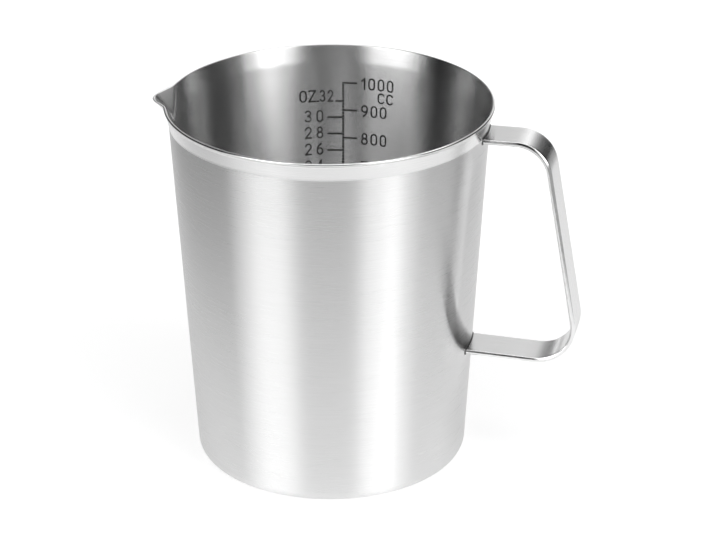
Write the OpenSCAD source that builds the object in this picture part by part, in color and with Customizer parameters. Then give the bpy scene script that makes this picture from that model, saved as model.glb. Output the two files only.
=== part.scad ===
/* [Body] */
// Height from the table to the top of the rim
jug_h = 133.5; // [115:0.5:160]
// Outer diameter of the wall's cone at the table
base_d = 97.2; // [80:0.2:106]
// Outer diameter of the wall's cone at the height of the rim
mouth_d = 113.5; // [108:0.5:130]
// Thickness of the steel sheet
wall = 0.7; // [0.5:0.1:1.2]
// Outer radius between the wall and the base
corner_r = 4; // [2:0.5:6]

/* [Rim] */
// Height of the band that flares out below the rim
flare_h = 5.5; // [4:0.5:7]
// How far the rim stands out from the wall's cone
flare_out = 1.3; // [0.8:0.1:2.4]

/* [Spout] */
// Turn of the spout from the direction opposite the handle
spout_turn = 6; // [-15:0.5:15]
// How far the tip reaches out past the rim
spout_reach = 4.6; // [3:0.1:9]
// Width of the spout along the rim
spout_w = 24; // [20:0.5:40]
// Depth of the spout's foot below the rim
spout_h = 11.8; // [9:0.2:18]
// How far the tip hangs below the rim
spout_drop = 0.8; // [0.4:0.1:5]
// Radius of the rounded tip, seen from above
spout_tip_r = 8.5; // [1:0.5:9]

/* [Handle] */
// Width of the strap
strap_w = 15; // [10:0.5:20]
// Thickness of the strap
strap_t = 1.8; // [1.2:0.1:2.6]
// Drop from the foot of the flare to the middle of the upper leg
leg_drop = 1.9; // [1.8:0.1:10]
// Length of the upper leg, from the wall to its corner
upper_leg_l = 21.4; // [18:0.2:32]
// Length of the lower leg, from the wall to its corner
lower_leg_l = 40.4; // [26:0.2:48]
// Height between the two legs at the wall
leg_gap = 81.2; // [60:0.2:90]
// How far the lower leg falls on its way to the corner
lower_leg_fall = 1.2; // [0:0.1:4]
// Radius of the upper bend, in the middle of the strap
upper_bend_r = 12.3; // [6:0.1:16]
// Radius of the lower bend, in the middle of the strap
lower_bend_r = 13.4; // [6:0.1:16]
// Leg of the weld fillets at both ends of the strap
weld_leg = 0.8; // [0.4:0.1:1.2]

/* [Scale] */
// Direction of the scale's line, turned from the handle
scale_turn = 97.7; // [60:0.1:130]
// Side of the cube that holds one right-hand step, which is 100 cc
cc_cube = 46.416; // [45:0.001:48]
// Side of the cube that holds one left-hand step, which is two ounces
ounce_cube = 38.964; // [37:0.001:40]
// How far the right-hand lines sit below their true levels
cc_low = 0.85; // [0:0.05:3]
// How far the left-hand lines sit below their true levels
ounce_low = 2.3; // [0:0.05:3]
// Number of right-hand steps
cc_steps = 10; // [1:1:10]
// Number of left-hand steps
ounce_steps = 16; // [1:1:16]
// Width of the scale's upright line
line_w = 0.8; // [0.4:0.1:1.2]
// Width of the short lines across
tick_w = 0.6; // [0.3:0.1:1]
// Length of the right-hand short lines
cc_tick_l = 4.8; // [3:0.1:5.4]
// Length of the left-hand short lines
ounce_tick_l = 5.5; // [4:0.1:6.2]
// Length of the short line beside the highest left-hand number
top_tick_l = 2.5; // [1:0.1:2.8]
// Depth of the dark layer that the scale is marked in
film_t = 0.08; // [0.04:0.01:0.2]

/* [Numbers] */
// Height of a number
digit_h = 4.65; // [3:0.05:5]
// Width of a number's digit
digit_w = 2.6; // [1.6:0.05:2.8]
// Width of the pen that draws the numbers
pen_w = 0.58; // [0.3:0.02:0.7]
// Distance from the line to the right-hand numbers
cc_number_out = 6.7; // [6:0.1:9]
// Step from digit to digit on the right-hand side
cc_pitch = 3.6; // [3.2:0.1:5]
// Distance from the line to the left-hand numbers
ounce_number_out = 7.4; // [6.8:0.1:9]
// Step from digit to digit on the left-hand side
ounce_pitch = 4.3; // [3.2:0.1:5]
// Rise of the left-hand numbers over their short lines
ounce_rise = 0.5; // [0:0.1:1]
// Distance from the line to the highest left-hand number
top_number_out = 3.7; // [3.4:0.1:5]
// Rise of the highest left-hand number over its short line
top_rise = 2; // [0:0.1:2.4]
// Width of a digit in the highest left-hand number
top_digit_w = 2.1; // [1.6:0.1:2.4]
// Step from digit to digit in the highest left-hand number
top_pitch = 2.9; // [2.7:0.1:3.4]
// Gap between the highest left-hand number and its unit
unit_gap = 1.4; // [1:0.1:3]
// Share of the gap under the highest right-hand number that its unit fills
unit_h_share = 0.7; // [0.4:0.01:0.75]
// Share of that gap which stays clear above the unit
unit_clear_share = 0.12; // [0.05:0.01:0.2]
// Width of a unit letter
unit_w = 2.8; // [1.6:0.1:3]
// Step from unit letter to unit letter
unit_pitch = 3.4; // [3.3:0.1:5]

/* [Hidden] */
$fn = 256;

// How far cuts run past what they cut
overrun = 5;
// Steps along a rounded stretch of an outline, along a bend of the strap and along an arc of a digit
arc_steps = 12;
bend_steps = 18;
glyph_steps = 8;
// How far the spout's form runs past its lip
form_share = 1.3;
// What the numbers count by
cc_per_step = 100;
ounces_per_step = 2;

// The wall is a cone that leans out from the base
slope_share = (mouth_d - base_d) / 2 / jug_h;
lean = atan(slope_share);
function wall_r(z) = base_d / 2 + z * slope_share;
function inner_r(z) = wall_r(z) - wall / cos(lean);

// The base corner is an arc that meets the base and the wall
corner_at = [wall_r(corner_r) - corner_r / cos(lean), corner_r];
function corner_points(r) = [
    for (i = [0:arc_steps])
        let (a = -90 + (90 - lean) * i / arc_steps)
        corner_at + r * [cos(a), sin(a)]
];

// The flare is an arc that leaves the wall and leans further out
flare_run = flare_out + flare_h * slope_share;
rim_lean = 2 * atan(flare_run / flare_h) - lean;
flare_r = flare_h / (sin(rim_lean) - sin(lean));
rim_z = jug_h - wall / 2 * (1 + sin(rim_lean));
flare_z = rim_z - flare_h;
rim_r = wall_r(flare_z) + flare_run;
flare_at = [wall_r(flare_z) + flare_r * cos(lean), flare_z - flare_r * sin(lean)];
function flare_points(r) = [
    for (i = [0:arc_steps])
        let (a = lean + (rim_lean - lean) * i / arc_steps)
        flare_at + r * [-cos(a), sin(a)]
];

// The edge of the sheet is rounded over at the rim
lip_at = flare_at + (flare_r + wall / 2) * [-cos(rim_lean), sin(rim_lean)];
lip_points = [
    for (i = [1:arc_steps - 1])
        let (a = 180 * i / arc_steps)
        lip_at + wall / 2 * [cos(a - rim_lean), sin(a - rim_lean)]
];
function reversed(list) = [for (i = [len(list) - 1:-1:0]) list[i]];

// The spout is pressed out of the wall: straight rulings run from its foot to a sloping lip, and
// both the foot and the lip's two roots lie inside the sheet
root_r = rim_r - wall / 4;
root_x = sqrt(root_r * root_r - spout_w * spout_w / 4);
tip_x = rim_r + spout_reach;
tip_at = [tip_x - spout_tip_r, 0];
root_at = [root_x, spout_w / 2];
tip_turn = atan2(root_at[1], root_at[0] - tip_at[0]) - acos(spout_tip_r / norm(root_at - tip_at));
lip_tilt = atan(spout_drop / (tip_x - root_x));
foot_z = jug_h - spout_h;
spout_foot = [wall / 4 - wall_r(foot_z), 0, foot_z];
spout_tip = [-tip_x, 0, rim_z - spout_drop];
ridge = spout_tip - spout_foot;
sheet_shift = wall / norm(ridge) * [ridge[2], 0, -ridge[0]];
function on_lip_plane(p) = [-p[0], p[1], rim_z - (p[0] - root_x) * tan(lip_tilt)];
spout_outline = concat(
    [root_at],
    [for (i = [0:arc_steps])
        let (a = tip_turn * (1 - 2 * i / arc_steps))
        tip_at + spout_tip_r * [cos(a), sin(a)]],
    [[root_x, -spout_w / 2], [root_x - spout_reach, 0]]
);

// The strap's middle line: a level upper leg, a grip that leans out and a lower leg
upper_z = flare_z - leg_drop;
lower_z = upper_z - leg_gap;
upper_start = [wall_r(upper_z), upper_z];
upper_corner = upper_start + [upper_leg_l, 0];
lower_start = [wall_r(lower_z), lower_z];
lower_corner = lower_start + [lower_leg_l, -lower_leg_fall];
lower_leg_tilt = atan(lower_leg_fall / lower_leg_l);
sunk_start = upper_start - [overrun, 0];
sunk_end = lower_start - overrun * [cos(lower_leg_tilt), -sin(lower_leg_tilt)];
function unit(v) = v / norm(v);
function turned(v) = [-v[1], v[0]];
function half_angle(p, q, r) = acos(unit(p - q) * unit(r - q)) / 2;
function bend_start(p, q, r, radius) = q + unit(p - q) * radius / tan(half_angle(p, q, r));
function bend_centre(p, q, r, radius) =
    q + unit(unit(p - q) + unit(r - q)) * radius / sin(half_angle(p, q, r));
function bend_points(p, q, r, radius, off) =
    let (middle = bend_centre(p, q, r, radius))
    let (first = unit(bend_start(p, q, r, radius) - middle))
    let (sweep = 180 - 2 * half_angle(p, q, r))
    [for (i = [0:bend_steps])
        let (a = -sweep * i / bend_steps)
        middle + (radius + off) * (cos(a) * first + sin(a) * turned(first))];
// One face of the strap, at a distance off to the outside of its middle line
function strap_face(off) = concat(
    [sunk_start + off * turned(unit(upper_corner - sunk_start))],
    bend_points(sunk_start, upper_corner, lower_corner, upper_bend_r, off),
    bend_points(upper_corner, lower_corner, sunk_end, lower_bend_r, off),
    [sunk_end + off * turned(unit(sunk_end - lower_corner))]
);

// What the jug holds up to a height, and the height for what it holds
corner_loss = (1 - PI / 4) * pow(corner_r - wall, 2) * 2 * PI * inner_r(corner_r);
function level_z(volume) =
    let (r3 = pow(inner_r(wall), 3) + 3 * slope_share * (volume + corner_loss) / PI)
    (pow(r3, 1 / 3) - inner_r(0)) / slope_share;
function cc_z(step) = level_z(step * pow(cc_cube, 3)) - cc_low;
function ounce_z(step) = level_z(step * pow(ounce_cube, 3)) - ounce_low;
mark_top_z = flare_z - digit_h;
cc_marks = [for (step = [1:cc_steps]) if (cc_z(step) < mark_top_z) step];
ounce_marks = [for (step = [1:ounce_steps]) if (ounce_z(step) < mark_top_z) step];
cc_last = max(cc_marks);
ounce_last = max(ounce_marks);
unit_room = cc_z(cc_last) - cc_z(cc_last - 1) - digit_h;
unit_h = unit_h_share * unit_room;
unit_drop = (digit_h + unit_h) / 2 + unit_clear_share * unit_room;
line_low_z = min(cc_z(1), ounce_z(1)) - tick_w / 2;
line_high_z = max(cc_z(cc_last), ounce_z(ounce_last)) + tick_w / 2;

// Digits and unit letters are pen strokes, in shares of a digit's width and height
function arc_shares(at, r, from, to) = [
    for (i = [0:glyph_steps])
        let (a = from + (to - from) * i / glyph_steps)
        [at[0] + r[0] * cos(a), at[1] + r[1] * sin(a)]
];
function ring_shares(at, r) = [
    for (i = [0:2 * glyph_steps - 1])
        let (a = 180 * i / glyph_steps)
        [at[0] + r[0] * cos(a), at[1] + r[1] * sin(a)]
];
round_shares = concat(arc_shares([0.5, 0.72], [0.5, 0.28], 0, 180),
                      arc_shares([0.5, 0.28], [0.5, 0.28], 180, 360));
function loop_shares(sign) =
    sign == "0" || sign == "O" ? [round_shares] :
    sign == "6" ? [ring_shares([0.5, 0.3], [0.5, 0.3])] :
    sign == "8" ? [ring_shares([0.5, 0.76], [0.4, 0.24]), ring_shares([0.5, 0.26], [0.5, 0.26])] :
    sign == "9" ? [ring_shares([0.5, 0.7], [0.5, 0.3])] :
    [];
function stroke_shares(sign) =
    sign == "1" ? [[[0.5, 0], [0.5, 1]], [[0.5, 1], [0, 0.76]]] :
    sign == "2" ? [concat(arc_shares([0.5, 0.72], [0.5, 0.28], 165, -35), [[0, 0]]), [[0, 0], [1, 0]]] :
    sign == "3" ? [arc_shares([0.45, 0.76], [0.47, 0.24], 150, -90),
                   arc_shares([0.45, 0.26], [0.55, 0.26], 90, -150)] :
    sign == "4" ? [[[0.72, 0], [0.72, 1]], [[0.72, 1], [0, 0.3]], [[0, 0.3], [1, 0.3]]] :
    sign == "5" ? [[[0.95, 1], [0.12, 1]], [[0.12, 1], [0.05, 0.54]],
                   arc_shares([0.45, 0.31], [0.55, 0.31], 135, -145)] :
    sign == "6" ? [arc_shares([0.95, 0.3], [0.95, 0.7], 180, 105)] :
    sign == "7" ? [[[0, 1], [1, 1]], [[1, 1], [0.35, 0]]] :
    sign == "9" ? [arc_shares([0.05, 0.7], [0.95, 0.7], 0, -75)] :
    sign == "C" ? [concat(arc_shares([0.5, 0.7], [0.5, 0.3], 35, 180),
                          arc_shares([0.5, 0.3], [0.5, 0.3], 180, 325))] :
    sign == "Z" ? [[[0, 1], [1, 1]], [[1, 1], [0, 0]], [[0, 0], [1, 0]]] :
    sign == "." ? [[[0.45, 0], [0.55, 0]]] :
    [];
// A one takes less room than the other digits
one_share = 0.75;
function advance(sign, pitch) = sign == "1" ? one_share * pitch : pitch;
function offset_of(word, i, pitch) = i == 0 ? 0 : offset_of(word, i - 1, pitch) + advance(word[i - 1], pitch);
function word_w(word, pitch, width) = offset_of(word, len(word) - 1, pitch) + width;

function heading(path, i) =
    i == 0 ? unit(path[1] - path[0]) :
    i == len(path) - 1 ? unit(path[i] - path[i - 1]) :
    unit(unit(path[i] - path[i - 1]) + unit(path[i + 1] - path[i]));
function loop_heading(path, i) =
    let (n = len(path))
    unit(unit(path[i] - path[(i + n - 1) % n]) + unit(path[(i + 1) % n] - path[i]));

module shell() {
    rotate_extrude()
        polygon(concat([[0, 0]], corner_points(corner_r), flare_points(flare_r), lip_points,
                       reversed(flare_points(flare_r + wall)), reversed(corner_points(corner_r - wall)),
                       [[0, wall]]));
}

// Everything inside the middle of the sheet
module inside() {
    top_z = jug_h + overrun;
    middle = flare_points(flare_r + wall / 2);
    rotate_extrude()
        polygon(concat([[0, wall]], corner_points(corner_r - wall / 2), middle,
                       [[middle[arc_steps][0], top_z], [0, top_z]]));
}

module wall_solid() {
    rotate_extrude()
        polygon([[0, 0], [wall_r(0), 0], [wall_r(jug_h), jug_h], [0, jug_h]]);
}

// What the die presses out, with its tip towards -X
module spout_form() {
    rim = [for (p = spout_outline) spout_foot + form_share * (on_lip_plane(p) - spout_foot)];
    n = len(rim);
    polyhedron(points = concat([spout_foot], rim),
               faces = concat([for (i = [0:n - 1]) [0, 1 + i, 1 + (i + 1) % n]], [[for (i = [n:-1:1]) i]]));
}

module above_lip() {
    translate([-root_x, 0, rim_z])
        rotate([0, -lip_tilt, 0])
            translate([-spout_w, -spout_w, 0])
                cube([2 * spout_w, 2 * spout_w, spout_w]);
}

module jug_body() {
    color("silver") difference() {
        union() {
            shell();
            rotate([0, 0, spout_turn])
                difference() {
                    spout_form();
                    above_lip();
                    inside();
                }
        }
        rotate([0, 0, spout_turn])
            translate(sheet_shift)
                spout_form();
    }
}

module strap() {
    rotate([90, 0, 0])
        linear_extrude(strap_w, center = true)
            polygon(concat(strap_face(strap_t / 2), reversed(strap_face(-strap_t / 2))));
}

module handle() {
    color("gainsboro") difference() {
        strap();
        wall_solid();
    }
}

// A fillet all round the strap: two tapered blocks cross, and the strap and the wall are cut out
module weld(start, tilt) {
    run = weld_leg + overrun;
    function taper(half) =
        [[weld_leg, -half], [weld_leg, half], [-overrun, half + run], [-overrun, -half - run]];
    difference() {
        translate([start[0], 0, start[1]])
            rotate([0, tilt, 0])
                intersection() {
                    rotate([90, 0, 0])
                        linear_extrude(strap_w + 2 * run, center = true)
                            polygon(taper(strap_t / 2));
                    linear_extrude(strap_t + 2 * run, center = true)
                        polygon(taper(strap_w / 2));
                }
        strap();
        wall_solid();
    }
}

module upper_weld() {
    color("darkgray") weld(upper_start, 0);
}

module lower_weld() {
    color("darkgray") weld(lower_start, lower_leg_tilt);
}

// The thin layer on the inside of the wall that all marks are cut from
module film() {
    low = corner_r;
    rotate_extrude()
        polygon([[inner_r(low), low], [inner_r(flare_z), flare_z],
                 [inner_r(flare_z) - film_t, flare_z], [inner_r(low) - film_t, low]]);
}

// Draws a flat shape on the wall: along is read from left to right, starting at the scale's line
module on_wall(along, z) {
    rotate([0, 0, scale_turn - along / inner_r(z) * 180 / PI])
        translate([inner_r(z) + digit_h, 0, z])
            rotate([90, 0, -90])
                linear_extrude(2 * digit_h)
                    children();
}

module open_stroke(path) {
    last = len(path) - 1;
    line = [for (i = [0:last])
        path[i] + (i == 0 ? -1 : i == last ? 1 : 0) * pen_w / 2 * heading(path, i)];
    side = [for (i = [0:last]) pen_w / 2 * turned(heading(line, i))];
    polygon(concat(line + side, reversed(line - side)));
}

module closed_stroke(path) {
    n = len(path);
    side = [for (i = [0:n - 1]) pen_w / 2 * turned(loop_heading(path, i))];
    polygon(concat(path + side, path - side),
            paths = [[for (i = [0:n - 1]) i], [for (i = [n:2 * n - 1]) i]]);
}

// One digit or letter, centred
module sign_shape(sign, width, height) {
    function drawn(shares) = [for (p = shares)
        [(p[0] - 0.5) * (width - pen_w), (p[1] - 0.5) * (height - pen_w)]];
    for (shares = stroke_shares(sign)) open_stroke(drawn(shares));
    for (shares = loop_shares(sign)) closed_stroke(drawn(shares));
}

// A word with its left edge at along, or its right edge there
module word(text, along, z, pitch, width, height, from_right = false) {
    left = along - (from_right ? word_w(text, pitch, width) : 0);
    for (i = [0:len(text) - 1])
        on_wall(left + offset_of(text, i, pitch) + width / 2, z)
            sign_shape(text[i], width, height);
}

module scale_line() {
    near = inner_r(line_low_z) - overrun;
    far = inner_r(line_high_z) + overrun;
    color("dimgray") intersection() {
        rotate([0, 0, scale_turn])
            translate([near, -line_w / 2, line_low_z])
                cube([far - near, line_w, line_high_z - line_low_z]);
        film();
    }
}

module tick(along, z, length) {
    on_wall(along, z) square([length, tick_w], center = true);
}

module cc_ticks() {
    color("black") intersection() {
        for (step = cc_marks) tick((line_w + cc_tick_l) / 2, cc_z(step), cc_tick_l);
        film();
    }
}

module ounce_ticks() {
    color("black") intersection() {
        for (step = ounce_marks)
            let (length = step == ounce_last ? top_tick_l : ounce_tick_l)
            tick(-(line_w + length) / 2, ounce_z(step), length);
        film();
    }
}

module cc_numbers() {
    color("black") intersection() {
        for (step = cc_marks)
            word(str(step * cc_per_step), cc_number_out, cc_z(step), cc_pitch, digit_w, digit_h);
        film();
    }
}

module ounce_numbers() {
    color("dimgray") intersection() {
        for (step = ounce_marks)
            let (top = step == ounce_last)
            word(str(step * ounces_per_step), -(top ? top_number_out : ounce_number_out),
                 ounce_z(step) + (top ? top_rise : ounce_rise), top ? top_pitch : ounce_pitch,
                 top ? top_digit_w : digit_w, digit_h, from_right = true);
        film();
    }
}

module unit_letters() {
    cc_number = str(cc_last * cc_per_step);
    ounce_number = str(ounce_last * ounces_per_step);
    cc_right = cc_number_out + word_w(cc_number, cc_pitch, digit_w);
    ounce_left = top_number_out + word_w(ounce_number, top_pitch, top_digit_w);
    ounce_unit_z = ounce_z(ounce_last) + top_rise;
    color("black") intersection() {
        union() {
            word("CC", cc_right, cc_z(cc_last) - unit_drop, unit_pitch, unit_w, unit_h, from_right = true);
            word("OZ", -ounce_left - unit_gap, ounce_unit_z, unit_pitch, unit_w, digit_h, from_right = true);
            word(".", -ounce_left - (unit_gap + unit_w) / 2, ounce_unit_z, unit_pitch, unit_w, digit_h);
        }
        film();
    }
}

jug_body();
handle();
upper_weld();
lower_weld();
scale_line();
cc_ticks();
ounce_ticks();
cc_numbers();
ounce_numbers();
unit_letters();
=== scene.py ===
"""The measuring jug as it looks: brushed sheet steel, a welded strap and the dark scale inside.

Sizes are in millimetres, in the CAD frame, and become metres when a mesh is made.
"""
import math

import bpy
from mathutils import Matrix, Vector


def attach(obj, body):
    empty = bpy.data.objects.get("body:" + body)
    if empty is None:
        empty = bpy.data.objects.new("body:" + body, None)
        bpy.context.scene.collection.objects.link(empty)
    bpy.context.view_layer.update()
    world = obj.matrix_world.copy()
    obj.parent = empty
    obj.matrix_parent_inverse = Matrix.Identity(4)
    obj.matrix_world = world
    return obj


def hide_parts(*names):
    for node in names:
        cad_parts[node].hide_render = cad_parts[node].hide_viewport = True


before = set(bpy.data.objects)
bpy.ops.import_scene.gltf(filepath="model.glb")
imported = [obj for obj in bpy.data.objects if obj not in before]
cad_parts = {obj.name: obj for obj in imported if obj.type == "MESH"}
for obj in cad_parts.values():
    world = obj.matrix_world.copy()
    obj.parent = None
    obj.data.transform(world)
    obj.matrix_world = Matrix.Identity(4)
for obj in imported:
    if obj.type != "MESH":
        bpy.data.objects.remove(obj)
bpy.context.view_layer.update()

MM = 0.001

# Body: a cone with a rounded base corner, a short bend, a straight flare and a lip curled outwards
JUG_H = 133.5
BASE_R = 48.6
MOUTH_R = 56.75
WALL = 0.7
CORNER_R = 4
FLARE_Z = 126.2
FLARE_R = 9
FLARE_SIDE = 5.53
POLISH_Z = 126.9
LIP_R = 0.5
LIP_INNER_R = 0.22
LIP_FLAT = 0.2
LIP_DIP = 0.04
LIP_TUCK = 0.63
SLOPE = (MOUTH_R - BASE_R) / JUG_H
LEAN = math.atan(SLOPE)
RIM_LEAN = math.radians(13.42)
LIP_WRAP = math.radians(62.7)
RIM_Z = JUG_H - LIP_R

# Spout: pressed out of the rim, turned a little towards the viewer
SPOUT_TURN = math.radians(186.3)
SPOUT_REACH = 4.45
SPOUT_H = 11.8
SPOUT_FLANK = 0.6
SPOUT_NOSE_R = 3
SPOUT_CURVE = 1.5
SPOUT_BLEND = 0.4
SPOUT_DROP = 0.17
BLEND_ENDS = 12

# Strap: a level upper leg, a grip that leans out and a lower leg
STRAP_W = 15
STRAP_T = 1.8
STRAP_FACE_R = 0.35
STRAP_SIDE_R = 0.3
STRAP_BEVEL = 0.55
STRAP_BEVEL_TILT = math.radians(33)
UPPER_Z = 125.58
LOWER_Z = UPPER_Z - 81.2
UPPER_LEG = 21.4
LOWER_LEG = 40.4
LOWER_FALL = 1.2
UPPER_BEND_R = 12.3
LOWER_BEND_R = 13.4
SUNK = 0.3
BEAD_R = 0.42

# How finely the meshes are divided
CORNER_STEPS = 10
WALL_STEPS = 12
UPPER_WALL_STEPS = 14
UPPER_WALL_FROM = 0.87
BEND_STEPS = 8
FLARE_STEPS = 6
LIP_STEPS = 14
LIP_INNER_STEPS = 5
DISC_STEPS = 4
BODY_TURNS = 384
SPOUT_CROWDING = 0.72
STRAP_BEND_STEPS = 16
STRAP_STEP = 4.0
STRAP_SIDE_STEPS = 4
STRAP_FACE_STEPS = 6
STRAP_ACROSS_STEPS = 10
BEAD_SIDES = 8
FLAT = 1e-6

# Surface finish: the spans of the noises that are used, and how much each effect changes the steel
NOISE_SPAN = (0.3, 0.7)
LINE_SPAN = (0.35, 0.9)
LINE_DETAIL = 4.0
LINE_ROUGH_CHANGE = 0.012
SWAY_SCALE, SWAY_DETAIL = 35.0, 1.0
SLOW_SCALE, SLOW_DETAIL, SLOW_SHARE = 22.0, 2.0, 0.25
WEAR_SPAN = (0.5, 0.62)
WEAR_LIFT = 0.06
SCUFF_DETAIL = 4.0
SCUFF_CHANGE = 0.04
SCUFF_ROUGH_CHANGE = 0.05
SCUFF_RELIEF = 0.1
GROOVE_DEPTH = 0.02

# The etched marks, with the pitch of the dots on the upright line
MARK_SCALE, MARK_DETAIL = 900.0, 3.0
MARK_ROUGH = (0.45, 0.65)
MARK_RELIEF = 0.2
DOT_PITCH = 1.2
DOT_SPAN = (0.2, 0.7)
DOT_LIFT = 0.16

# Camera, fitted to the photo, in metres and radians, with its lens and sensor in millimetres
CAMERA_AT = (0.2090, -0.8972, 0.4921)
CAMERA_TURN = math.radians(12.5)
CAMERA_DOWN = 0.4311
CAMERA_ROLL = -0.0031
CAMERA_LENS = 141.81
CAMERA_SENSOR = 36

# Studio light as (degrees to the right of the camera, level), from behind on the left to behind on the right
BRIGHTEST = 5.0
LOW_LIGHT = [
    (-180, 2.2), (-166, 1.8), (-155, 0.0),
    (-75, 0.0), (-70, 2.6), (-66, 3.5), (-54, 3.5), (-34, 3.2), (-26, 2.4), (-18, 0.9),
    (-10, 0.15), (10, 0.15),
    (20, 1.2), (27, 3.0), (36, 0.6), (54, 0.2), (62, 0.8), (68, 0.8), (73, 0.0),
    (146, 0.0), (154, 0.6), (166, 1.8), (180, 2.2),
]
HIGH_LIGHT = [
    (-180, 0.65), (-165, 0.1),
    (-69, 0.0), (-65, 1.2), (-60, 2.0), (-53, 3.0), (-43, 2.3), (-33, 1.7), (-26, 0.5),
    (-20, 0.0), (17, 0.0),
    (22, 0.6), (27, 1.35), (32, 2.0), (37, 2.9), (42, 4.1), (46, 4.8), (51, 4.5), (55, 3.1), (60, 2.0),
    (64, 1.6), (67, 0.0),
    (145, 0.0), (152, 0.35), (160, 1.3), (168, 1.0), (180, 0.65),
]
TOP_LIGHT = [(-180, 0.1), (-72, 0.1), (-64, 2.8), (0, 2.8), (62, 2.6), (70, 0.1), (180, 0.1)]
PANEL_LIGHT = [(-180, 0.4), (-165, 0.0), (88, 0.0), (98, 1.7), (150, 1.7), (158, 0.6), (180, 0.4)]
LOW_END, HIGH_START = math.radians(4), math.radians(9)
PANEL_START, PANEL_FULL = math.radians(42), math.radians(47)
HIGH_END, TOP_START = math.radians(56), math.radians(64)

# The floor, and in metres the pool on it that is lit in reflections, which widens towards the back
FLOOR_HALF = 4000
FLOOR_TONE, FLOOR_CHANGE = 0.45, 0.01
FLOOR_SCALE, FLOOR_DETAIL = 6.0, 2.0
FLOOR_ROUGH = 0.9
FLOOR_GLOSS = 0.1
FLOOR_LIFT = 0.7
POOL_HALF_W, POOL_WIDENS = 0.135, 0.13
POOL_LEFT, POOL_RIGHT = 0.04, 0.14
POOL_FRONT, POOL_BACK = -0.22, 0.6
POOL_FADE = 0.05


def wall_r(z):
    """The cone's outer radius at a height."""
    return BASE_R + z * SLOPE


def arc(centre, radius, start, end, steps):
    """Points (r, z) along an arc, with angles in radians."""
    turns = [start + (end - start) * i / steps for i in range(steps + 1)]
    return [(centre[0] + radius * math.cos(a), centre[1] + radius * math.sin(a)) for a in turns]


def part_way(first, last, share):
    """The point at a share of the way from one point to another."""
    return tuple(a + (b - a) * share for a, b in zip(first, last))


def spread(first, last, steps):
    """Points between two points, both left out."""
    return [part_way(first, last, i / steps) for i in range(1, steps)]


def ring_quads(first, second, n):
    """The faces between two rings of n points, which are numbered one after another."""
    sides = [(j, (j + 1) % n) for j in range(n)]
    return [(first * n + j, first * n + k, second * n + k, second * n + j) for j, k in sides]


def add_object(name, points, faces, materials, face_materials=None):
    """A smooth mesh object made from points in millimetres."""
    mesh = bpy.data.meshes.new(name)
    mesh.from_pydata([Vector(p) * MM for p in points], [], faces)
    for material in materials:
        mesh.materials.append(material)
    if face_materials:
        mesh.polygons.foreach_set("material_index", face_materials)
    mesh.polygons.foreach_set("use_smooth", [True] * len(mesh.polygons))
    mesh.validate()
    mesh.update()
    piece = bpy.data.objects.new(name, mesh)
    bpy.context.collection.objects.link(piece)
    return piece


# The body

def sheet_face(corner_r, flare_r, flare_side):
    """One side of the sheet as (r, z) points, from the base's edge up to the lip."""
    corner_at = (wall_r(CORNER_R) - CORNER_R / math.cos(LEAN), CORNER_R)
    flare_at = (wall_r(FLARE_Z) + FLARE_R * math.cos(LEAN), FLARE_Z - FLARE_R * math.sin(LEAN))
    corner = arc(corner_at, corner_r, -math.pi / 2, -LEAN, CORNER_STEPS)
    flare = arc(flare_at, flare_r, math.pi - LEAN, math.pi - RIM_LEAN, BEND_STEPS)
    rim = (flare[-1][0] + flare_side * math.sin(RIM_LEAN), flare[-1][1] + flare_side * math.cos(RIM_LEAN))
    upper = part_way(corner[-1], flare[0], UPPER_WALL_FROM)
    wall = spread(corner[-1], upper, WALL_STEPS) + [upper] + spread(upper, flare[0], UPPER_WALL_STEPS)
    return corner + wall + flare + spread(flare[-1], rim, FLARE_STEPS) + [rim]


def lip_points(inside_end):
    """The rim's edge, curled outwards: a round outer side, a top that dips inwards and a round inside."""
    inner = (inside_end[0] + LIP_INNER_R * math.cos(RIM_LEAN),
             inside_end[1] - LIP_INNER_R * math.sin(RIM_LEAN))
    outer = (inner[0] + LIP_FLAT, inner[1] + LIP_INNER_R - LIP_R + LIP_DIP)
    return (arc(outer, LIP_R, -RIM_LEAN - LIP_WRAP, math.pi / 2, LIP_STEPS)[1:]
            + arc(inner, LIP_INNER_R, math.pi / 2, math.pi - RIM_LEAN, LIP_INNER_STEPS)[:-1])


def body_profile():
    """Rings (r, z, zone) from the middle of the underside, over the lip, to the middle of the inside."""
    outside = sheet_face(CORNER_R, FLARE_R, FLARE_SIDE - LIP_TUCK)
    inside = sheet_face(CORNER_R - WALL, FLARE_R + WALL, FLARE_SIDE)[::-1]
    lip = lip_points(inside[0])
    under = spread((0, 0), outside[0], DISC_STEPS)
    bottom = spread(inside[-1], (0, WALL), DISC_STEPS)
    zones = [(under, "underside"), (outside, "outside"), (lip, "lip"), (inside, "inside"), (bottom, "inside")]
    rings = [(r, z, zone) for points, zone in zones for r, z in points]
    return [(r, z, "flare" if zone == "outside" and z > POLISH_Z else zone) for r, z, zone in rings]


def soft_rise(height):
    """A height where it is above zero, with a soft start instead of a corner."""
    steps = height / SPOUT_BLEND
    if abs(steps) > BLEND_ENDS:
        return max(height, 0)
    return SPOUT_BLEND * math.log1p(math.exp(steps))


def spout_push(across, depth):
    """How far the sheet is pressed out at a place across the spout and below the rim."""
    height = 1 - depth / SPOUT_H
    ridge = SPOUT_REACH * math.copysign(abs(height) ** SPOUT_CURVE, height)
    flank = SPOUT_FLANK * (math.hypot(across, SPOUT_NOSE_R) - SPOUT_NOSE_R)
    return soft_rise(ridge - flank)


def body_point(r, z, turn):
    """A point of the revolved sheet, moved by the spout."""
    away = math.remainder(turn - SPOUT_TURN, 2 * math.pi)
    push = spout_push(wall_r(RIM_Z) * away, RIM_Z - z) if z > JUG_H / 2 else 0
    return ((r + push) * math.cos(turn), (r + push) * math.sin(turn), z - SPOUT_DROP * push)


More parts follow.
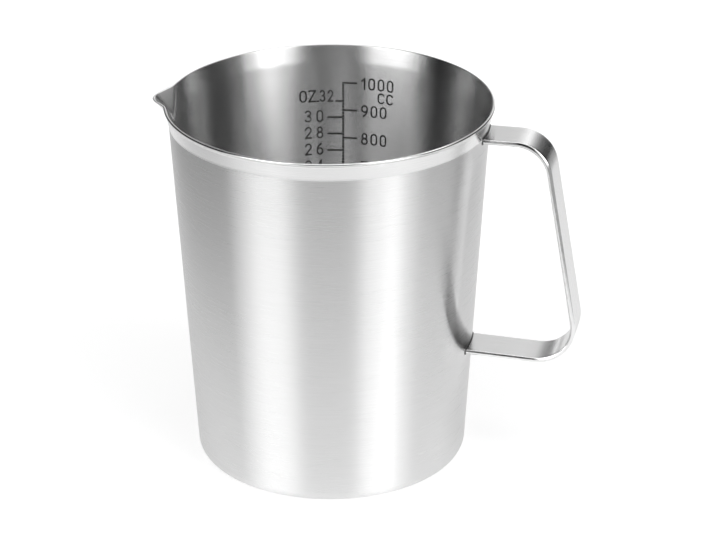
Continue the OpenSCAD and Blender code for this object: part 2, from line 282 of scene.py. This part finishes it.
def body_turns():
    """Directions round the body, closer together at the spout."""
    even = [2 * math.pi * i / BODY_TURNS for i in range(BODY_TURNS)]
    return [SPOUT_TURN + a - SPOUT_CROWDING * math.sin(a) for a in even]


def make_body(materials):
    """The drawn sheet: rings of quads, with a fan in the middle of each side of the base."""
    rings, turns, names = body_profile(), body_turns(), list(materials)
    n = len(turns)
    points = [body_point(r, z, turn) for r, z, _ in rings for turn in turns]
    faces, picks = [], []
    for i, ((_, _, before), (_, _, after)) in enumerate(zip(rings, rings[1:])):
        faces += ring_quads(i, i + 1, n)
        picks += [names.index("lip" if before == "lip" else after)] * n
    low, high, last = len(points), len(points) + 1, (len(rings) - 1) * n
    points += [(0, 0, 0), (0, 0, WALL)]
    for j in range(n):
        k = (j + 1) % n
        faces += [(low, k, j), (high, last + j, last + k)]
        picks += [names.index("underside"), names.index("inside")]
    return add_object("jug_shell", points, faces, list(materials.values()), picks)


# The handle

def strap_path():
    """The strap's middle line in the XZ plane: points and directions from one wall end to the other."""
    start = Vector((wall_r(UPPER_Z), UPPER_Z))
    end = Vector((wall_r(LOWER_Z), LOWER_Z))
    corners = [start + Vector((UPPER_LEG, 0)), end + Vector((LOWER_LEG, -LOWER_FALL))]
    knots = [start] + corners + [end]
    path = [(start, (corners[0] - start).normalized())]
    for i, radius in ((1, UPPER_BEND_R), (2, LOWER_BEND_R)):
        path += bend(knots[i - 1], knots[i], knots[i + 1], radius)
    path.append((end, (end - corners[1]).normalized()))
    return with_steps(path)


def bend(before, corner, after, radius):
    """An arc that rounds a corner of the path."""
    into = (corner - before).normalized()
    out = (after - corner).normalized()
    turn = into.angle_signed(out)
    reach = radius * math.tan(abs(turn) / 2)
    side = Vector((into.y, -into.x)) * (1 if turn > 0 else -1)
    centre = corner - into * reach + side * radius
    made = []
    for i in range(STRAP_BEND_STEPS + 1):
        spin = Matrix.Rotation(-turn * i / STRAP_BEND_STEPS, 2)
        made.append((centre + spin @ (-side * radius), (spin @ into).normalized()))
    return made


def with_steps(path):
    """Adds points on the straight stretches, so that no face is long."""
    made = [path[0]]
    for (a, da), (b, db) in zip(path, path[1:]):
        count = max(1, round((b - a).length / STRAP_STEP))
        made += [(a + (b - a) * i / count, da if i < count else db) for i in range(1, count + 1)]
    return made


def strap_corner():
    """A quarter of the strap's section, from side to face: a small round, a bevel and a larger round."""
    tilt = (math.cos(STRAP_BEVEL_TILT), math.sin(STRAP_BEVEL_TILT))
    face_up = STRAP_T / 2 - STRAP_FACE_R
    side_up = face_up + (STRAP_FACE_R - STRAP_SIDE_R) * tilt[1] - STRAP_BEVEL * tilt[0]
    side_at = STRAP_W / 2 - STRAP_SIDE_R
    face_at = side_at - (STRAP_FACE_R - STRAP_SIDE_R) * tilt[0] - STRAP_BEVEL * tilt[1]
    return (arc((side_at, side_up), STRAP_SIDE_R, 0, STRAP_BEVEL_TILT, STRAP_SIDE_STEPS)
            + arc((face_at, face_up), STRAP_FACE_R, STRAP_BEVEL_TILT, math.pi / 2, STRAP_FACE_STEPS))


def strap_section():
    """The strap's cross-section as (across, out) points."""
    corner = strap_corner()
    face = spread(corner[-1], (-corner[-1][0], corner[-1][1]), STRAP_ACROSS_STEPS)
    half = corner + face + [(-across, lift) for across, lift in reversed(corner)]
    return half + [(-across, -lift) for across, lift in half]


def on_wall(across, z, sunk=0.0):
    """A point on the outside of the wall at a place across the handle's plane."""
    return (math.sqrt((wall_r(z) - sunk) ** 2 - across ** 2), across, z)


def strap_rings():
    """The strap's rings of points, with both ends shaped to the wall and set a little into it."""
    section, path = strap_section(), strap_path()
    rings = []
    for at, along in path:
        out = Vector((-along.y, along.x))
        rings.append([(at.x + out.x * lift, across, at.y + out.y * lift) for across, lift in section])
    starts = [[on_wall(across, z, sunk) for _, across, z in rings[0]] for sunk in (SUNK, 0.0)]
    ends = [[on_wall(across, z, sunk) for _, across, z in rings[-1]] for sunk in (0.0, SUNK)]
    return starts + rings[1:-1] + ends


def make_strap(face_steel, edge_steel):
    """The bent strap, with brushed faces and polished edges."""
    section, rings = strap_section(), strap_rings()
    n, last = len(section), len(rings) - 1
    points = [point for ring in rings for point in ring]
    faces = [quad for i in range(last) for quad in ring_quads(i, i + 1, n)]
    faces += [tuple(range(n - 1, -1, -1)), tuple(last * n + j for j in range(n))]
    level = [abs(a[1] - b[1]) < FLAT for a, b in zip(section, section[1:] + section[:1])]
    picks = [0 if flat else 1 for flat in level] * last + [1, 1]
    return add_object("handle_strap", points, faces, [face_steel, edge_steel], picks)


def make_bead(name, z, tilt, material):
    """A small dressed weld all round a strap end, where it meets the wall."""
    section = strap_section()
    n = len(section)
    points = []
    for across, lift in section:
        outward = Vector((across / (STRAP_W / 2), lift / (STRAP_T / 2))).normalized()
        for s in range(BEAD_SIDES):
            a = 2 * math.pi * s / BEAD_SIDES
            shift = BEAD_R * math.cos(a)
            x, y, up = on_wall(across + outward.x * shift, z + lift + outward.y * shift)
            points.append((x + BEAD_R * math.sin(a) + tilt * lift, y, up))
    faces = [quad for i in range(n) for quad in ring_quads(i, (i + 1) % n, BEAD_SIDES)]
    return add_object(name, points, faces, [material])


# Materials

def value_node(nodes, links, operation, first, second):
    """A maths node with links or plain numbers for its two inputs."""
    node = nodes.new("ShaderNodeMath")
    node.operation = operation
    for socket, value in zip(node.inputs, (first, second)):
        if isinstance(value, bpy.types.NodeSocket):
            links.new(value, socket)
        else:
            socket.default_value = value
    return node.outputs[0]


def map_range(nodes, links, value, span, to_span):
    """A value taken from one span to another, and held at its ends."""
    node = nodes.new("ShaderNodeMapRange")
    links.new(value, node.inputs["Value"])
    for name, number in zip(("From Min", "From Max", "To Min", "To Max"), (*span, *to_span)):
        node.inputs[name].default_value = number
    return node.outputs["Result"]


def around(middle, change):
    """The span from a little below a value to a little above it."""
    return (middle - change, middle + change)


def noise(nodes, links, vector, scale, detail):
    """A noise that goes from 0 to 1."""
    node = nodes.new("ShaderNodeTexNoise")
    node.inputs["Scale"].default_value = scale
    node.inputs["Detail"].default_value = detail
    links.new(vector, node.inputs["Vector"])
    return node.outputs["Fac"]


def new_material(name):
    """A material with its nodes, its links and its usual shader."""
    material = bpy.data.materials.new(name)
    material.use_nodes = True
    nodes, links = material.node_tree.nodes, material.node_tree.links
    return material, nodes, links, nodes["Principled BSDF"]


def mirror_material(name):
    """A material with a bare anisotropic mirror, which stretches its gloss farther than the usual shader."""
    material, nodes, links, usual = new_material(name)
    nodes.remove(usual)
    mirror = nodes.new("ShaderNodeBsdfAnisotropic")
    links.new(mirror.outputs["BSDF"], nodes["Material Output"].inputs["Surface"])
    return material, nodes, links, mirror


def add_relief(nodes, links, shader, height, strength):
    """Fine grooves in the surface."""
    bump = nodes.new("ShaderNodeBump")
    bump.inputs["Strength"].default_value = strength
    bump.inputs["Distance"].default_value = GROOVE_DEPTH * MM
    links.new(height, bump.inputs["Height"])
    links.new(bump.outputs["Normal"], shader.inputs["Normal"])


def brush_lines(nodes, links, coords, axis, along, across, sway):
    """Noise drawn out into lines round an axis, which sway a little. Along and across are changes a metre."""
    moved = nodes.new("ShaderNodeVectorMath")
    moved.operation = "MULTIPLY_ADD"
    links.new(noise(nodes, links, coords, SWAY_SCALE, SWAY_DETAIL), moved.inputs[0])
    moved.inputs[1].default_value = [sway * MM if letter == axis else 0 for letter in "XYZ"]
    links.new(coords, moved.inputs[2])
    scaled = nodes.new("ShaderNodeVectorMath")
    scaled.operation = "MULTIPLY"
    links.new(moved.outputs[0], scaled.inputs[0])
    scaled.inputs[1].default_value = [across if letter == axis else along for letter in "XYZ"]
    return noise(nodes, links, scaled.outputs[0], 1.0, LINE_DETAIL)


def brushed_steel(name, axis, tone, rough, stretch, along, across, sway, contrast, relief):
    """Brushed steel with fine lines round an axis, slow shade changes, and paler worn edges."""
    material, nodes, links, shader = mirror_material(name)
    coords = nodes.new("ShaderNodeTexCoord").outputs["Object"]
    lines = brush_lines(nodes, links, coords, axis, along, across, sway)
    slow = noise(nodes, links, coords, SLOW_SCALE, SLOW_DETAIL)
    mixed = value_node(nodes, links, "ADD", lines, value_node(nodes, links, "MULTIPLY", slow, SLOW_SHARE))
    edges = nodes.new("ShaderNodeNewGeometry").outputs["Pointiness"]
    wear = map_range(nodes, links, edges, WEAR_SPAN, (0.0, WEAR_LIFT))
    shade = map_range(nodes, links, mixed, LINE_SPAN, around(tone, contrast))
    gloss = map_range(nodes, links, mixed, LINE_SPAN, around(rough, LINE_ROUGH_CHANGE))
    links.new(value_node(nodes, links, "ADD", wear, shade), shader.inputs["Color"])
    links.new(gloss, shader.inputs["Roughness"])
    shader.inputs["Anisotropy"].default_value = stretch
    tangent = nodes.new("ShaderNodeTangent")
    tangent.direction_type = "RADIAL"
    tangent.axis = axis
    links.new(tangent.outputs["Tangent"], shader.inputs["Tangent"])
    add_relief(nodes, links, shader, lines, relief)
    return material


def plain_steel(name, tone, rough, scale):
    """Polished or dressed steel, with fine scuffs and no brush direction."""
    material, nodes, links, shader = new_material(name)
    coords = nodes.new("ShaderNodeTexCoord").outputs["Object"]
    scuff = noise(nodes, links, coords, scale, SCUFF_DETAIL)
    shade = map_range(nodes, links, scuff, NOISE_SPAN, around(tone, SCUFF_CHANGE))
    gloss = map_range(nodes, links, scuff, NOISE_SPAN, around(rough, SCUFF_ROUGH_CHANGE))
    links.new(shade, shader.inputs["Base Color"])
    links.new(gloss, shader.inputs["Roughness"])
    shader.inputs["Metallic"].default_value = 1.0
    add_relief(nodes, links, shader, scuff, SCUFF_RELIEF)
    return material


def dots(nodes, links, coords):
    """Pale gaps up the height of a mark."""
    parts = nodes.new("ShaderNodeSeparateXYZ")
    links.new(coords, parts.inputs[0])
    turns = value_node(nodes, links, "MULTIPLY", parts.outputs["Z"], 2 * math.pi / (DOT_PITCH * MM))
    wave = value_node(nodes, links, "SINE", turns, 0.0)
    return map_range(nodes, links, wave, DOT_SPAN, (0.0, DOT_LIFT))


def etched_mark(name, dark, pale, dotted=False):
    """Dark etch with a little mottling, and with gaps up its height where it is dotted."""
    material, nodes, links, shader = new_material(name)
    coords = nodes.new("ShaderNodeTexCoord").outputs["Object"]
    mottle = noise(nodes, links, coords, MARK_SCALE, MARK_DETAIL)
    shade = map_range(nodes, links, mottle, NOISE_SPAN, (dark, pale))
    if dotted:
        shade = value_node(nodes, links, "ADD", shade, dots(nodes, links, coords))
    links.new(shade, shader.inputs["Base Color"])
    links.new(map_range(nodes, links, mottle, NOISE_SPAN, MARK_ROUGH), shader.inputs["Roughness"])
    add_relief(nodes, links, shader, mottle, MARK_RELIEF)
    return material


def paint_marks():
    """Gives the CAD marks their etched look."""
    black = etched_mark("mark_black", dark=0.01, pale=0.03)
    grey = etched_mark("mark_grey", dark=0.03, pale=0.07)
    dotted = etched_mark("mark_dotted", dark=0.01, pale=0.03, dotted=True)
    looks = {"scale_line": dotted, "cc_ticks": black, "ounce_ticks": black, "cc_numbers": black,
             "ounce_numbers": grey, "unit_letters": black}
    for node, material in looks.items():
        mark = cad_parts[node]
        mark.data.materials.clear()
        mark.data.materials.append(material)


# The studio

def seen_from_camera(nodes, links, vector):
    """A vector's parts: X to the right of the camera, Y away from it and Z up."""
    turned = nodes.new("ShaderNodeVectorRotate")
    turned.rotation_type = "Z_AXIS"
    turned.inputs["Angle"].default_value = -CAMERA_TURN
    links.new(vector, turned.inputs["Vector"])
    parts = nodes.new("ShaderNodeSeparateXYZ")
    links.new(turned.outputs["Vector"], parts.inputs[0])
    return parts.outputs


def make_floor():
    """A large pale floor: white to the camera, and to the steel near the jug, with the jug's shadow on it."""
    corners = [(x * FLOOR_HALF, y * FLOOR_HALF, 0) for x, y in ((-1, -1), (1, -1), (1, 1), (-1, 1))]
    material, nodes, links, shader = new_material("pale_floor")
    coords = nodes.new("ShaderNodeTexCoord").outputs["Object"]
    mottle = noise(nodes, links, coords, FLOOR_SCALE, FLOOR_DETAIL)
    shade = map_range(nodes, links, mottle, NOISE_SPAN, around(FLOOR_TONE, FLOOR_CHANGE))
    links.new(shade, shader.inputs["Base Color"])
    shader.inputs["Roughness"].default_value = FLOOR_ROUGH
    shader.inputs["Specular IOR Level"].default_value = FLOOR_GLOSS
    path = nodes.new("ShaderNodeLightPath").outputs
    mirrored = value_node(nodes, links, "MAXIMUM", path["Is Glossy Ray"], path["Is Transmission Ray"])
    mirrored = value_node(nodes, links, "MULTIPLY", mirrored, pool_of_light(nodes, links, coords))
    seen = value_node(nodes, links, "MULTIPLY", path["Is Camera Ray"], FLOOR_LIFT)
    shader.inputs["Emission Color"].default_value = (1, 1, 1, 1)
    links.new(value_node(nodes, links, "MAXIMUM", seen, mirrored), shader.inputs["Emission Strength"])
    floor = add_object("floor", corners, [(0, 1, 2, 3)], [material])


def pool_of_light(nodes, links, coords):
    """The floor's lift in reflections: even round the jug and behind it, and none farther out."""
    parts = seen_from_camera(nodes, links, coords)
    across, back = parts["X"], parts["Y"]
    widths = [POOL_HALF_W + POOL_WIDENS * end for end in (POOL_FRONT, POOL_BACK)]
    half_w = map_range(nodes, links, back, (POOL_FRONT, POOL_BACK), widths)
    left_edge = value_node(nodes, links, "SUBTRACT", -POOL_LEFT, half_w)
    right_edge = value_node(nodes, links, "ADD", half_w, POOL_RIGHT)
    past = [value_node(nodes, links, "SUBTRACT", *pair)
            for pair in ((left_edge, across), (across, right_edge), (POOL_FRONT, back), (back, POOL_BACK))]
    sideways = value_node(nodes, links, "MAXIMUM", past[0], past[1])
    lengthways = value_node(nodes, links, "MAXIMUM", past[2], past[3])
    away = value_node(nodes, links, "MAXIMUM", sideways, lengthways)
    return map_range(nodes, links, away, (0.0, POOL_FADE), (FLOOR_LIFT, 0.0))


def level_ramp(nodes, links, place, light):
    """The level at a place round the jug, from 0 to 1, for a list of (degrees, level) pairs."""
    node = nodes.new("ShaderNodeValToRGB")
    elements = node.color_ramp.elements
    stops = [((degrees + 180) / 360, level / BRIGHTEST) for degrees, level in light]
    colours = [(level, level, level, 1) for _, level in stops]
    elements[0].color, elements[1].color = colours[0], colours[-1]
    for (at, _), colour in list(zip(stops, colours))[1:-1]:
        elements.new(at).color = colour
    links.new(place, node.inputs["Fac"])
    return value_node(nodes, links, "MULTIPLY", node.outputs["Color"], BRIGHTEST)


def blended(nodes, links, share, first, second):
    """Goes from the first value to the second as share goes from 0 to 1."""
    node = nodes.new("ShaderNodeMix")
    for socket, value in zip(node.inputs[:1] + node.inputs[2:4], (share, first, second)):
        links.new(value, socket)
    return node.outputs[0]


def make_world():
    """Soft boxes beside the camera, dark sides, a pale wall and a panel behind, and soft light above."""
    world = bpy.data.worlds.new("studio")
    bpy.context.scene.world = world
    world.use_nodes = True
    nodes, links = world.node_tree.nodes, world.node_tree.links
    parts = seen_from_camera(nodes, links, nodes.new("ShaderNodeTexCoord").outputs["Generated"])
    nearer = value_node(nodes, links, "MULTIPLY", parts["Y"], -1.0)
    azimuth = value_node(nodes, links, "ARCTAN2", parts["X"], nearer)
    place = map_range(nodes, links, azimuth, (-math.pi, math.pi), (0.0, 1.0))
    low, high, top, panel = [level_ramp(nodes, links, place, light)
                             for light in (LOW_LIGHT, HIGH_LIGHT, TOP_LIGHT, PANEL_LIGHT)]
    slopes = ((LOW_END, HIGH_START), (HIGH_END, TOP_START), (PANEL_START, PANEL_FULL))
    rise, cover, reach = [map_range(nodes, links, parts["Z"], (math.sin(start), math.sin(end)), (0.0, 1.0))
                          for start, end in slopes]
    sides = value_node(nodes, links, "ADD", blended(nodes, links, rise, low, high),
                       value_node(nodes, links, "MULTIPLY", panel, reach))
    nodes["Background"].inputs["Color"].default_value = (1, 1, 1, 1)
    links.new(blended(nodes, links, cover, sides, top), nodes["Background"].inputs["Strength"])


def make_camera():
    """The camera at the photo's place and angle."""
    lens = bpy.data.cameras.new("camera")
    lens.lens = CAMERA_LENS
    lens.sensor_width = CAMERA_SENSOR
    lens.sensor_fit = "HORIZONTAL"
    camera = bpy.data.objects.new("camera", lens)
    turn = Matrix.Rotation(CAMERA_TURN, 4, "Z") @ Matrix.Rotation(math.pi / 2 - CAMERA_DOWN, 4, "X")
    camera.matrix_world = Matrix.Translation(CAMERA_AT) @ turn @ Matrix.Rotation(CAMERA_ROLL, 4, "Z")
    bpy.context.collection.objects.link(camera)
    bpy.context.scene.camera = camera


def stand_in(piece, slot, *nodes):
    """Puts a piece under the root body and hides the CAD nodes that it stands for."""
    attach(piece, "root")
    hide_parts(*nodes)


def body_steels():
    """The steel of each zone of the body, brushed round the jug. The flare is polished brighter."""
    round_jug = {"axis": "Z", "across": 9000, "sway": 0.4}
    return {
        "underside": plain_steel("steel_underside", tone=0.66, rough=0.45, scale=300.0),
        "outside": brushed_steel("steel_outside", tone=0.8, rough=0.28, stretch=0.75, along=60, contrast=0.04,
                                 relief=0.04, **round_jug),
        "flare": brushed_steel("steel_flare", tone=0.8, rough=0.2, stretch=0.68, along=60, contrast=0.05,
                               relief=0.3, **round_jug),
        "lip": plain_steel("steel_lip", tone=0.82, rough=0.1, scale=400.0),
        "inside": brushed_steel("steel_inside", tone=0.74, rough=0.25, stretch=0.8, along=40, contrast=0.06,
                                relief=0.1, **round_jug),
    }


def make_handle():
    """The strap, brushed along its length, and the welds that hold it, in near-black steel that is painted
    shade of the gap where the strap meets the wall.
    """
    face = brushed_steel("steel_strap", axis="Y", tone=0.8, rough=0.16, stretch=0.68, along=90, across=4000,
                         sway=0.2, contrast=0.05, relief=0.3)
    edge = plain_steel("steel_edge", tone=0.8, rough=0.14, scale=500.0)
    # The welds' near-black tone is painted shade of the gap and crevice at the strap's ends.
    weld_shade = plain_steel("steel_weld_painted_shade", tone=0.12, rough=0.4, scale=700.0)
    stand_in(make_strap(face, edge), "strap_steel", "handle")
    stand_in(make_bead("weld_bead_upper", UPPER_Z, 0.0, weld_shade), "weld_steel", "upper_weld")
    stand_in(make_bead("weld_bead_lower", LOWER_Z, LOWER_FALL / LOWER_LEG, weld_shade), "weld_steel", "lower_weld")


stand_in(make_body(body_steels()), "body_steel", "jug_body")
make_handle()
paint_marks()
make_floor()
make_world()
make_camera()
bpy.context.scene.view_settings.view_transform = "Standard"
